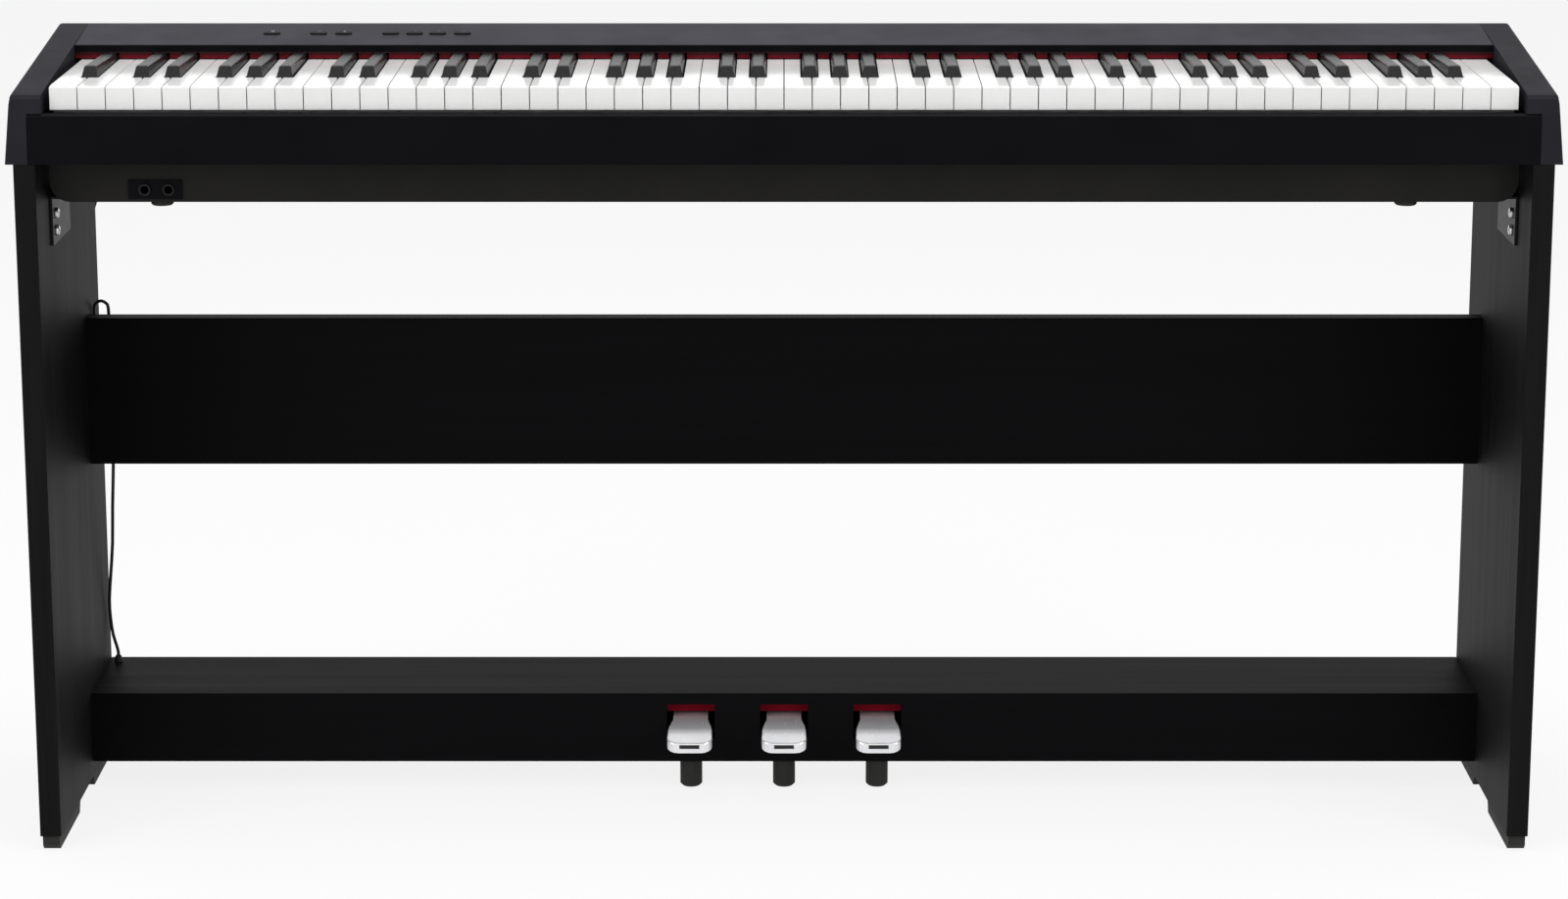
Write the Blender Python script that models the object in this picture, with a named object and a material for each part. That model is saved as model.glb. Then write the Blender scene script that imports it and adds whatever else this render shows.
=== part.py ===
"""Stage piano: an 88-key slab piano on a wooden stand with a three-pedal unit.

Metres, +Z up, +Y to the back.
"""

import math

import bmesh
import bpy
from mathutils import Matrix, Vector

# Clearances
SEAT_GAP = 0.0003
KEY_GAP = 0.0009
SLIDE_GAP = 0.0004

# Keyboard
WHITE_PITCH = 0.0235
WHITE_COUNT = 52
WHITE_TOP_Z = 0.664
WHITE_BODY_HEIGHT = 0.009
WHITE_APRON_HEIGHT = 0.0195
WHITE_APRON_DEPTH = 0.005
KEY_FRONT_DEPTH = 0.0112
KEY_REAR_DEPTH = 0.226
BLACK_FRONT_SETBACK = 0.050
BLACK_WIDTH = 0.0137
BLACK_TOP_WIDTH = 0.0096
BLACK_RISE_FRONT = 0.0095
BLACK_RISE_REAR = 0.0062
BLACK_CAP_LENGTH = 0.102
BLACK_NOSE_SLOPE = 0.005
BLACK_ARM_RISE = 0.0035
KEY_HINGE_DEPTH = 0.222
KEY_STRIP_INSET = 0.0006
WHITE_STRIP_LENGTH = 0.008
WHITE_STRIP_HEIGHT = 0.0034
BLACK_ARM_STEP_DEPTH = 0.2135
BLACK_ARM_BASE_RISE = 0.0052
BLACK_REAR_DEPTH = 0.2360
BLACK_STRIP_LENGTH = 0.0064
STRIP_END_INSET = 0.002
BLACK_OUTER_SHIFT = 0.0019
BLACK_PAIR_SHIFT = 0.0014
KEY_BED_FRONT_DEPTH = 0.024
KEY_BED_FLOOR = 0.004
KEY_BEAD_RADIUS = 0.002
KEY_STOP_DEPTH = (0.030, 0.042)
KEY_STOP_Z = 0.645

# Piano body
STAND_DEPTH = 0.2705
CASE_BASE_Z = 0.600
RAIL_TOP_Z = 0.642
RAIL_TOP_DEPTH = 0.0102
RAIL_FACE_LEAN = 0.0022
RAIL_WALL = 0.0025
RAIL_FLANGE_DEPTH = 0.046
RAIL_HALF_WIDTH = 0.6285
CHEEK_INNER_X = 0.6165
CHEEK_TOP_X = 0.6424
CHEEK_BOTTOM_X = 0.6475
CHEEK_FRONT_Z = 0.6585
PANEL_FRONT_DEPTH = 0.1645
PANEL_FRONT_Z = 0.6767
PANEL_FRONT_HEIGHT = 0.0060
PANEL_REAR_DEPTH = 0.2350
PANEL_REAR_Z = 0.6860
PANEL_WALL = 0.0028
PANEL_CORNER = 0.010
PANEL_EDGE = 0.0008
BODY_REAR_DEPTH = 0.2540
FELT_BOTTOM_Z = 0.6652
FELT_THICKNESS = 0.003
LOWER_HALF_WIDTH = 0.617
LOWER_FRONT_DEPTH = 0.032
LOWER_REAR_DEPTH = 0.248
LOWER_BASE_Z = 0.5626
LOWER_CORNER = 0.017
LOWER_WALL = 0.003
CASE_FOOT_X = 0.525
CASE_FOOT_RADIUS = 0.0095
CASE_FOOT_HEIGHT = 0.0046
CASE_FOOT_DEPTHS = (0.046, 0.225)
SPEAKER_X = 0.38
SPEAKER_DEPTH = 0.137
SPEAKER_RADIUS = 0.050
SPEAKER_HEIGHT = 0.030
SLOT_COUNT = 9
SLOT_PITCH = 0.008
SLOT_LENGTH = 0.090
SLOT_WIDTH = 0.0028

# Push buttons on the control panel
BUTTON_CENTRES = {
    "power": -0.4494,
    "volume_down": -0.4084,
    "volume_up": -0.3865,
    "tone": -0.3451,
    "function": -0.3241,
    "metronome": -0.3040,
    "record": -0.2822,
}
BUTTON_LENGTH = 0.0145
BUTTON_DEPTH = 0.0060
BUTTON_RISE = 0.0012
BUTTON_STEM = 0.0045
BUTTON_ROW_DEPTH = 0.2000

# Headphone sockets
JACK_X = (-0.537, -0.517)
JACK_Z = 0.5735
JACK_BORE = 0.0033
JACK_OUTER = 0.0052
JACK_LENGTH = 0.018
JACK_PLATE_X = (-0.551, -0.506)
JACK_PLATE_Z = (0.5655, 0.5815)
JACK_PLATE_THICK = 0.0016

# Stand
SIDE_INNER_X = 0.6228
SIDE_THICKNESS = 0.0182
GLIDE_HEIGHT = 0.0125
GLIDE_LENGTH = 0.100
GLIDE_WIDTH = 0.0145
GLIDE_BAR = 0.0025
MIDDLE_FRONT_DEPTH = 0.2009
MIDDLE_THICKNESS = 0.0175
MIDDLE_Z = (0.292, 0.426)
BOX_FRONT_DEPTH = 0.1607
BOX_SEAM_DEPTH = 0.2074
BOX_Z = (0.026, 0.090)
BOX_WALL = 0.015
BRACKET_DEPTH = (0.058, 0.136)
BRACKET_Z = 0.520
BRACKET_REACH = 0.030
BRACKET_WALL = 0.002

# Pedals
PEDAL_X = (-0.084, 0.0, 0.084)
PEDAL_NAMES = ("soft", "sostenuto", "sustain")
PEDAL_ROOT_WIDTH = 0.031
PEDAL_TIP_WIDTH = 0.040
PEDAL_TOP_Z = 0.0670
PEDAL_THICKNESS = 0.0035
PEDAL_LIP_Z = 0.0580
PEDAL_LIP_DEPTH = 0.0115
PEDAL_REACH = 0.052
PEDAL_DROP = 0.007
PEDAL_NOTCH_WIDTH = 0.018
PEDAL_NOTCH_HEIGHT = 0.0036
PEDAL_NOTCH_DEPTH = 0.002
PEDAL_AXLE_DEPTH = 0.226
PEDAL_SLOT_WIDTH = 0.043
PEDAL_SLOT_Z = (0.0465, 0.0795)
AXLE_RADIUS = 0.004
AXLE_HALF_LENGTH = 0.118
BEARING_X = (-0.110, -0.042, 0.042, 0.110)
BEARING_WIDTH = 0.012
BEARING_DEPTH = 0.016
BEARING_CAP = 0.006
BASE_THICKNESS = 0.009
STOP_FELT_HALF_WIDTH = 0.115
STOP_FELT_HEIGHT = 0.0062
STOP_FELT_DEPTH = 0.010
FOOT_RADIUS = 0.010
FOOT_DEPTH = 0.1740
FOOT_TOP_Z = 0.0400

# Pedal cable
CABLE_RADIUS = 0.0015
SOCKET_X = -0.585
SOCKET_Z = 0.628
SOCKET_PANEL_X = (-0.020, 0.052)
SOCKET_PANEL_DEPTH = 0.2500
GLAND_X = -0.6140
GLAND_DEPTH = 0.2560
GLAND_HEIGHT = 0.006
PLUG_REAR_DEPTH = 0.2790
PLUG_RADIUS = 0.0048
CLIP_DEPTH = 0.2350
CLIP_Z = (0.398, 0.404)
CLIP_REACH = 0.0045
CLIP_HALF_DEPTH = 0.006

FRONT_Y = -STAND_DEPTH / 2
KEY_HALF_SPAN = WHITE_PITCH * WHITE_COUNT / 2
SIDE_OUTER_X = SIDE_INNER_X + SIDE_THICKNESS
SIDE_TOP_Z = CASE_BASE_Z - SEAT_GAP
HINGE_Z = WHITE_TOP_Z - WHITE_BODY_HEIGHT
AXLE_Z = PEDAL_TOP_Z - PEDAL_THICKNESS - AXLE_RADIUS - SEAT_GAP
PANEL_SLOPE = (PANEL_REAR_Z - PANEL_FRONT_Z) / (PANEL_REAR_DEPTH - PANEL_FRONT_DEPTH)


def depth(distance):
    """The Y of a point this far behind the front of the object."""
    return FRONT_Y + distance


def material(name, colour, roughness, metallic=0.0):
    made = bpy.data.materials.new(name)
    made.use_nodes = True
    shader = made.node_tree.nodes["Principled BSDF"]
    shader.inputs["Base Color"].default_value = (*colour, 1.0)
    shader.inputs["Roughness"].default_value = roughness
    shader.inputs["Metallic"].default_value = metallic
    return made


def add_object(name, mesh_data, finish, origin=(0.0, 0.0, 0.0)):
    """A bmesh in world metres becomes a named object whose origin is at the given point."""
    bmesh.ops.recalc_face_normals(mesh_data, faces=mesh_data.faces)
    bmesh.ops.translate(mesh_data, verts=mesh_data.verts, vec=-Vector(origin))
    mesh = bpy.data.meshes.new(name)
    mesh_data.to_mesh(mesh)
    mesh_data.free()
    obj = bpy.data.objects.new(name, mesh)
    obj.location = origin
    bpy.context.scene.collection.objects.link(obj)
    mesh.materials.append(material(name, *finish))
    return obj


def prism(mesh_data, outline, axis, low, high):
    """Extrudes a closed outline along X, Y or Z. The outline holds the two other coordinates."""

    def point(pair, along):
        values = list(pair)
        values.insert("XYZ".index(axis), along)
        return values

    face = mesh_data.faces.new([mesh_data.verts.new(point(pair, low)) for pair in outline])
    pushed = bmesh.ops.extrude_face_region(mesh_data, geom=[face])["geom"]
    top = [item for item in pushed if isinstance(item, bmesh.types.BMVert)]
    shift = Vector(point((0.0, 0.0), high - low))
    bmesh.ops.translate(mesh_data, verts=top, vec=shift)


def block(mesh_data, low, high):
    outline = ((low[0], low[1]), (high[0], low[1]), (high[0], high[1]), (low[0], high[1]))
    prism(mesh_data, outline, "Z", low[2], high[2])


def cylinder(mesh_data, centre, radius, axis, low, high, sides=20):
    outline = []
    for step in range(sides):
        turn = 2 * math.pi * step / sides
        outline.append((centre[0] + radius * math.cos(turn), centre[1] + radius * math.sin(turn)))
    prism(mesh_data, outline, axis, low, high)


def turned(mesh_data, profile, matrix, sides=20):
    """Revolves (radius, height) pairs about local Z. The profile starts and ends on the axis."""
    rings = []
    for radius, height in profile:
        if radius == 0:
            rings.append([mesh_data.verts.new(matrix @ Vector((0, 0, height)))])
            continue
        ring = []
        for step in range(sides):
            turn = 2 * math.pi * step / sides
            spot = Vector((radius * math.cos(turn), radius * math.sin(turn), height))
            ring.append(mesh_data.verts.new(matrix @ spot))
        rings.append(ring)
    for lower, upper in zip(rings, rings[1:]):
        for step in range(sides):
            after = (step + 1) % sides
            if len(lower) == 1:
                mesh_data.faces.new((lower[0], upper[after], upper[step]))
            elif len(upper) == 1:
                mesh_data.faces.new((lower[step], lower[after], upper[0]))
            else:
                mesh_data.faces.new((lower[step], lower[after], upper[after], upper[step]))


def round_edges(mesh_data, chosen, width, segments=1):
    edges = [edge for edge in mesh_data.edges if chosen(edge.verts[0].co, edge.verts[1].co)]
    bmesh.ops.bevel(
        mesh_data,
        geom=edges,
        offset=width,
        segments=segments,
        affect="EDGES",
        profile=0.5,
        clamp_overlap=True,
    )


def combine(target, other_mesh, name, operation):
    other = add_object(name, other_mesh, ((1.0, 0.0, 0.0), 0.5))
    other.hide_render = True
    other.display_type = "WIRE"
    modifier = target.modifiers.new(name, "BOOLEAN")
    modifier.operation = operation
    modifier.object = other


def cut(target, cutter_mesh, name):
    """Takes a closed mesh's volume out of an object."""
    combine(target, cutter_mesh, name, "DIFFERENCE")


def fuse(target, other_mesh, name):
    """Joins a second closed mesh to an object."""
    combine(target, other_mesh, name, "UNION")


def push_down(mesh_data, rear, level, distance):
    """Extrudes downwards the undersides in front of the plane at Y = rear that lie at this level."""
    geometry = mesh_data.verts[:] + mesh_data.edges[:] + mesh_data.faces[:]
    bmesh.ops.bisect_plane(mesh_data, geom=geometry, plane_co=(0, rear, 0), plane_no=(0, 1, 0))
    under = [
        face
        for face in mesh_data.faces
        if face.calc_center_median().y < rear and all(vert.co.z < level + 1e-6 for vert in face.verts)
    ]
    pushed = bmesh.ops.extrude_face_region(mesh_data, geom=under)["geom"]
    moved = [item for item in pushed if isinstance(item, bmesh.types.BMVert)]
    bmesh.ops.translate(mesh_data, verts=moved, vec=(0, 0, -distance))
    inner = [face for face in under if face.is_valid]
    bmesh.ops.delete(mesh_data, geom=inner, context="FACES_ONLY")
    bmesh.ops.recalc_face_normals(mesh_data, faces=mesh_data.faces)


def smooth(obj, angle=35):
    obj.data.shade_smooth()
    obj.data.set_sharp_from_angle(angle=math.radians(angle))


BLACK_PLASTIC = ((0.006, 0.006, 0.007), 0.45)
PANEL_PLASTIC = ((0.05, 0.05, 0.058), 0.55)
WARM_PLASTIC = ((0.014, 0.013, 0.012), 0.5)
BLACK_BOARD = ((0.008, 0.008, 0.009), 0.55)
IVORY_WHITE = ((0.85, 0.85, 0.83), 0.18)
EBONY_BLACK = ((0.010, 0.010, 0.011), 0.25)
RED_FELT = ((0.45, 0.008, 0.02), 0.95)
CHROME = ((0.80, 0.80, 0.82), 0.08, 1.0)
STEEL = ((0.45, 0.45, 0.46), 0.35, 1.0)
BLACK_STEEL = ((0.02, 0.02, 0.02), 0.4, 0.6)
RUBBER = ((0.012, 0.012, 0.012), 0.8)


def black_centres():
    """The X of each black key, and the number of the white key to the left of its centre."""
    shifts = {
        "A": BLACK_OUTER_SHIFT,
        "C": -BLACK_PAIR_SHIFT,
        "D": BLACK_PAIR_SHIFT,
        "F": -BLACK_OUTER_SHIFT,
        "G": 0.0,
    }
    found = []
    for white in range(WHITE_COUNT - 1):
        note = "ABCDEFG"[white % 7]
        if note in shifts:
            found.append((-KEY_HALF_SPAN + (white + 1) * WHITE_PITCH + shifts[note], white))
    return found


def white_group(white):
    """The section of a white key, 1 to 7. The lowest two join the first and the highest the last."""
    return max(1, min(7, 1 + (white - 2) // 7))


def add_white_key(mesh_data, white, blacks):
    left = -KEY_HALF_SPAN + white * WHITE_PITCH + KEY_GAP / 2
    right = left + WHITE_PITCH - KEY_GAP
    front = depth(KEY_FRONT_DEPTH)
    rear = depth(KEY_REAR_DEPTH)
    notch_front = front + BLACK_FRONT_SETBACK - KEY_GAP
    half = BLACK_WIDTH / 2 + KEY_GAP
    outline = [(left, front), (right, front)]
    if white in blacks:
        edge = blacks[white] - half
        outline += [(right, notch_front), (edge, notch_front), (edge, rear)]
    else:
        outline.append((right, rear))
    if white - 1 in blacks:
        edge = blacks[white - 1] + half
        outline += [(edge, rear), (edge, notch_front), (left, notch_front)]
    else:
        outline.append((left, rear))
    key = bmesh.new()
    prism(key, outline, "Z", HINGE_Z, WHITE_TOP_Z)
    push_down(key, front + WHITE_APRON_DEPTH, HINGE_Z, WHITE_APRON_HEIGHT - WHITE_BODY_HEIGHT)

    def is_front_or_side(a, b):
        on_top = min(a.z, b.z) > WHITE_TOP_Z - 1e-6 and max(a.y, b.y) < notch_front + 1e-6
        along_front = abs(a.y - b.y) < 1e-6 and a.y < front + 1e-6
        return on_top and (along_front or abs(a.x - b.x) < 1e-6)

    round_edges(key, is_front_or_side, 0.0008)
    join_into(mesh_data, key)


def join_into(mesh_data, other):
    mesh = bpy.data.meshes.new("joined")
    other.to_mesh(mesh)
    other.free()
    mesh_data.from_mesh(mesh)
    bpy.data.meshes.remove(mesh)


def add_black_key(mesh_data, centre):
    """A tapered cap with a sloping nose, carried by a lower arm that runs back to the hinge."""
    front = depth(KEY_FRONT_DEPTH + BLACK_FRONT_SETBACK)
    cap_rear = front + BLACK_CAP_LENGTH
    rear = depth(BLACK_REAR_DEPTH)
    arm_top = WHITE_TOP_Z + BLACK_ARM_RISE
    top_front = WHITE_TOP_Z + BLACK_RISE_FRONT
    top_rear = WHITE_TOP_Z + BLACK_RISE_REAR
    profile = (
        (front, HINGE_Z),
        (depth(BLACK_ARM_STEP_DEPTH), HINGE_Z),
        (depth(BLACK_ARM_STEP_DEPTH + 0.001), HINGE_Z + BLACK_ARM_BASE_RISE),
        (rear, HINGE_Z + BLACK_ARM_BASE_RISE),
        (rear, arm_top),
        (cap_rear, arm_top),
        (cap_rear, top_rear),
        (front + BLACK_NOSE_SLOPE, top_front),
        (front, WHITE_TOP_Z),
    )
    key = bmesh.new()
    prism(key, profile, "X", centre - BLACK_WIDTH / 2, centre + BLACK_WIDTH / 2)
    for vert in key.verts:
        if vert.co.z > WHITE_TOP_Z + 1e-6:
            rise = (vert.co.z - WHITE_TOP_Z) / BLACK_RISE_FRONT
            half = BLACK_WIDTH / 2 + (BLACK_TOP_WIDTH - BLACK_WIDTH) / 2 * rise
            vert.co.x = centre + math.copysign(half, vert.co.x - centre)
    bmesh.ops.recalc_face_normals(key, faces=key.faces)
    round_edges(
        key,
        lambda a, b: min(a.z, b.z) > top_rear - 1e-6 and max(a.y, b.y) < cap_rear + 1e-6,
        0.0010,
    )
    join_into(mesh_data, key)


def build_white_set(group, blacks, pivot):
    """An octave's white keys on one shared rear strip."""
    members = [white for white in range(WHITE_COUNT) if white_group(white) == group]
    by_white = {white: centre for centre, white in blacks}
    keys = bmesh.new()
    for white in members:
        add_white_key(keys, white, by_white)
    key_set = add_object(f"white_keys_octave_{group}", keys, IVORY_WHITE, pivot)
    left = -KEY_HALF_SPAN + members[0] * WHITE_PITCH + STRIP_END_INSET
    right = -KEY_HALF_SPAN + (members[-1] + 1) * WHITE_PITCH - STRIP_END_INSET
    rear = depth(KEY_REAR_DEPTH) - KEY_STRIP_INSET
    low = HINGE_Z + KEY_STRIP_INSET
    strip = bmesh.new()
    block(strip, (left, rear - WHITE_STRIP_LENGTH, low), (right, rear, low + WHITE_STRIP_HEIGHT))
    fuse(key_set, strip, f"white_strip_{group}")


def build_black_set(group, blacks, pivot):
    """An octave's black keys on one rear strip, which passes over the white keys' one."""
    centres = [centre for centre, white in blacks if white_group(white) == group]
    keys = bmesh.new()
    for centre in centres:
        add_black_key(keys, centre)
    key_set = add_object(f"black_keys_octave_{group}", keys, EBONY_BLACK, pivot)
    overhang = BLACK_WIDTH / 2 - KEY_STRIP_INSET - STRIP_END_INSET
    rear = depth(BLACK_REAR_DEPTH) - KEY_STRIP_INSET
    low = HINGE_Z + BLACK_ARM_BASE_RISE + KEY_STRIP_INSET
    high = WHITE_TOP_Z + BLACK_ARM_RISE - KEY_STRIP_INSET
    strip = bmesh.new()
    block(
        strip,
        (centres[0] - overhang, rear - BLACK_STRIP_LENGTH, low),
        (centres[-1] + overhang, rear, high),
    )
    fuse(key_set, strip, f"black_strip_{group}")


def build_keys():
    blacks = black_centres()
    pivot = (0.0, depth(KEY_HINGE_DEPTH), HINGE_Z)
    for group in range(1, 8):
        build_white_set(group, blacks, pivot)
        build_black_set(group, blacks, pivot)


def folded(path, thickness):
    """A sheet of even thickness along an open path of (Y, Z) points, laid on the path's right-hand side."""
    offset = []
    count = len(path)
    for index in range(count):
        point = Vector(path[index])
        normals = []
        if index > 0:
            run = (point - Vector(path[index - 1])).normalized()
            normals.append(Vector((run.y, -run.x)))
        if index < count - 1:
            run = (Vector(path[index + 1]) - point).normalized()
            normals.append(Vector((run.y, -run.x)))
        middle = sum(normals, Vector((0.0, 0.0))) / len(normals)
        offset.append(tuple(point + middle * (thickness / middle.length_squared)))
    return list(path) + offset[::-1]


def panel_path():
    """The control panel's outer side, from its front lip over the round rear corner and down."""
    corner = PANEL_CORNER
    path = [
        (depth(PANEL_FRONT_DEPTH), PANEL_FRONT_Z - PANEL_FRONT_HEIGHT),
        (depth(PANEL_FRONT_DEPTH), PANEL_FRONT_Z),
    ]
    for step in range(5):
        turn = math.radians(97 - 85 * step / 4)
        centre_z = PANEL_REAR_Z - corner
        path.append((depth(PANEL_REAR_DEPTH) + corner * math.cos(turn), centre_z + corner * math.sin(turn)))
    path.append((depth(BODY_REAR_DEPTH), CASE_BASE_Z + SEAT_GAP))
    return path


def build_upper_case():
    half = CHEEK_INNER_X - SEAT_GAP
    body = bmesh.new()
    prism(body, folded(panel_path(), PANEL_WALL), "X", -half, half)
    bmesh.ops.recalc_face_normals(body, faces=body.faces)
    front = depth(PANEL_FRONT_DEPTH)

    def is_top_front(a, b):
        return min(a.z, b.z) > PANEL_FRONT_Z - 1e-6 and max(a.y, b.y) < front + 1e-6

    round_edges(body, is_top_front, PANEL_EDGE)
    case = add_object("control_panel_case", body, PANEL_PLASTIC)
    holes = bmesh.new()
    for centre in BUTTON_CENTRES.values():
        add_button_prism(holes, centre, SLIDE_GAP, -0.008, 0.006)
    cut(case, holes, "button_holes")
    socket_window = bmesh.new()
    block(
        socket_window,
        (SOCKET_X + SOCKET_PANEL_X[0] - SEAT_GAP, depth(BODY_REAR_DEPTH - 0.020), SOCKET_Z - 0.012),
        (SOCKET_X + SOCKET_PANEL_X[1] + SEAT_GAP, depth(BODY_REAR_DEPTH + 0.010), SOCKET_Z + 0.012),
    )
    cut(case, socket_window, "socket_window")


def button_matrix(centre):
    """Local Z is the panel's normal and local X runs along the panel."""
    spot = Vector((centre, depth(BUTTON_ROW_DEPTH), panel_height(BUTTON_ROW_DEPTH)))
    return Matrix.Translation(spot) @ Matrix.Rotation(math.atan(PANEL_SLOPE), 4, "X")


def panel_height(distance):
    return PANEL_FRONT_Z + PANEL_SLOPE * (distance - PANEL_FRONT_DEPTH)


def add_button_prism(mesh_data, centre, grow, low, high):
    """A bar with half-round ends, square to the panel."""
    half = BUTTON_LENGTH / 2 + grow
    radius = BUTTON_DEPTH / 2 + grow
    outline = []
    for side in (1, -1):
        for step in range(7):
            turn = math.radians(-90 + 30 * step)
            outline.append((side * (half - radius + radius * math.cos(turn)), side * radius * math.sin(turn)))
    part = bmesh.new()
    prism(part, outline, "Z", low, high)
    bmesh.ops.transform(part, matrix=button_matrix(centre), verts=part.verts)
    bmesh.ops.recalc_face_normals(part, faces=part.faces)
    join_into(mesh_data, part)


def build_buttons():
    for name, centre in BUTTON_CENTRES.items():
        button = bmesh.new()
        add_button_prism(button, centre, 0.0, -BUTTON_STEM, BUTTON_RISE)
        add_object(f"button_{name}", button, BLACK_PLASTIC, button_matrix(centre).translation)


def cheek_profile():
    return [
        (depth(0.0), CASE_BASE_Z),
        (depth(RAIL_FACE_LEAN + 0.0008), CHEEK_FRONT_Z - 0.004),
        (depth(RAIL_FACE_LEAN + 0.0030), CHEEK_FRONT_Z - 0.0008),
        (depth(RAIL_FACE_LEAN + 0.0070), CHEEK_FRONT_Z),
    ] + panel_path()[2:-1] + [(depth(BODY_REAR_DEPTH), CASE_BASE_Z)]


def build_cheek(name, side):
    body = bmesh.new()
    prism(body, cheek_profile(), "X", side * CHEEK_INNER_X, side * CHEEK_TOP_X)
    for vert in body.verts:
        if abs(vert.co.x) > CHEEK_INNER_X + 0.01:
            drop = (CHEEK_FRONT_Z - vert.co.z) / (CHEEK_FRONT_Z - CASE_BASE_Z)
            vert.co.x = side * (CHEEK_TOP_X + (CHEEK_BOTTOM_X - CHEEK_TOP_X) * max(0.0, min(1.0, drop)))
    bmesh.ops.recalc_face_normals(body, faces=body.faces)
    outer = CHEEK_TOP_X - 0.0005
    round_edges(
        body,
        lambda a, b: min(abs(a.x), abs(b.x)) > outer and min(a.z, b.z) > CASE_BASE_Z + 0.01,
        0.0022,
        2,
    )
    cheek = add_object(name, body, PANEL_PLASTIC)
    seat = bmesh.new()
    ends = sorted((side * (CHEEK_INNER_X - 0.01), side * (RAIL_HALF_WIDTH + SEAT_GAP)))
    block(
        seat,
        (ends[0], depth(-0.02), CASE_BASE_Z - 0.01),
        (ends[1], depth(RAIL_FLANGE_DEPTH + SEAT_GAP), RAIL_TOP_Z + SEAT_GAP),
    )
    cut(cheek, seat, f"{name}_rail_seat")


def build_front_rail():
    path = [
        (depth(RAIL_FLANGE_DEPTH), CASE_BASE_Z),
        (depth(0.0), CASE_BASE_Z),
        (depth(RAIL_FACE_LEAN - 0.0002), RAIL_TOP_Z - 0.0016),
        (depth(RAIL_FACE_LEAN + 0.0014), RAIL_TOP_Z),
        (depth(RAIL_TOP_DEPTH), RAIL_TOP_Z),
        (depth(RAIL_TOP_DEPTH), RAIL_TOP_Z - 0.008),
    ]
    rail = bmesh.new()
    prism(rail, folded(path, RAIL_WALL), "X", -RAIL_HALF_WIDTH, RAIL_HALF_WIDTH)
    add_object("front_rail", rail, BLACK_PLASTIC)


def build_felt_strip():
    """A red felt strip behind the keys, notched round each black key."""
    top = PANEL_FRONT_Z - PANEL_FRONT_HEIGHT - SEAT_GAP
    half_notch = BLACK_WIDTH / 2 + KEY_GAP
    notch_top = min(top - 0.0006, WHITE_TOP_Z + BLACK_RISE_REAR + 0.0005)
    edge = CHEEK_INNER_X - 2 * SEAT_GAP
    outline = [(-edge, top), (-edge, FELT_BOTTOM_Z)]
    for centre, _ in black_centres():
        outline += [(centre - half_notch, FELT_BOTTOM_Z), (centre - half_notch, notch_top)]
        outline += [(centre + half_notch, notch_top), (centre + half_notch, FELT_BOTTOM_Z)]
    outline += [(edge, FELT_BOTTOM_Z), (edge, top)]
    felt = bmesh.new()
    prism(felt, outline, "Y", depth(PANEL_FRONT_DEPTH), depth(PANEL_FRONT_DEPTH + FELT_THICKNESS))
    add_object("key_felt_strip", felt, RED_FELT)


def rounded_bottom(half, low, high, radius, steps=6):
    """A front-view outline with square top corners and round bottom corners."""
    outline = [(-half, high)]
    for step in range(steps + 1):
        turn = math.radians(180 + 90 * step / steps)
        outline.append((-half + radius + radius * math.cos(turn), low + radius + radius * math.sin(turn)))
    for step in range(steps + 1):
        turn = math.radians(270 + 90 * step / steps)
        outline.append((half - radius + radius * math.cos(turn), low + radius + radius * math.sin(turn)))
    outline.append((half, high))
    return outline


def build_lower_case():
    tray = bmesh.new()
    top = CASE_BASE_Z - SEAT_GAP
    outline = rounded_bottom(LOWER_HALF_WIDTH, LOWER_BASE_Z, top, LOWER_CORNER)
    prism(tray, outline, "Y", depth(LOWER_FRONT_DEPTH), depth(LOWER_REAR_DEPTH))
    case = add_object("lower_case", tray, WARM_PLASTIC)
    hollow = bmesh.new()
    inner = rounded_bottom(
        LOWER_HALF_WIDTH - LOWER_WALL, LOWER_BASE_Z + LOWER_WALL, top + 0.01, LOWER_CORNER - LOWER_WALL
    )
    prism(
        hollow, inner, "Y", depth(LOWER_FRONT_DEPTH + LOWER_WALL), depth(LOWER_REAR_DEPTH - LOWER_WALL)
    )
    cut(case, hollow, "lower_case_hollow")
    openings = bmesh.new()
    block(
        openings,
        (JACK_PLATE_X[0] + 0.003, depth(LOWER_FRONT_DEPTH - 0.01), JACK_PLATE_Z[0] + 0.002),
        (JACK_PLATE_X[1] - 0.003, depth(LOWER_FRONT_DEPTH + 0.01), JACK_PLATE_Z[1] - 0.002),
    )
    for side in (-1, 1):
        for slot in range(SLOT_COUNT):
            spot = depth(SPEAKER_DEPTH + SLOT_PITCH * (slot - (SLOT_COUNT - 1) / 2))
            middle = side * SPEAKER_X
            block(
                openings,
                (middle - SLOT_LENGTH / 2, spot - SLOT_WIDTH / 2, LOWER_BASE_Z - 0.01),
                (middle + SLOT_LENGTH / 2, spot + SLOT_WIDTH / 2, LOWER_BASE_Z + 0.01),
            )
    cut(case, openings, "lower_case_openings")


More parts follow.
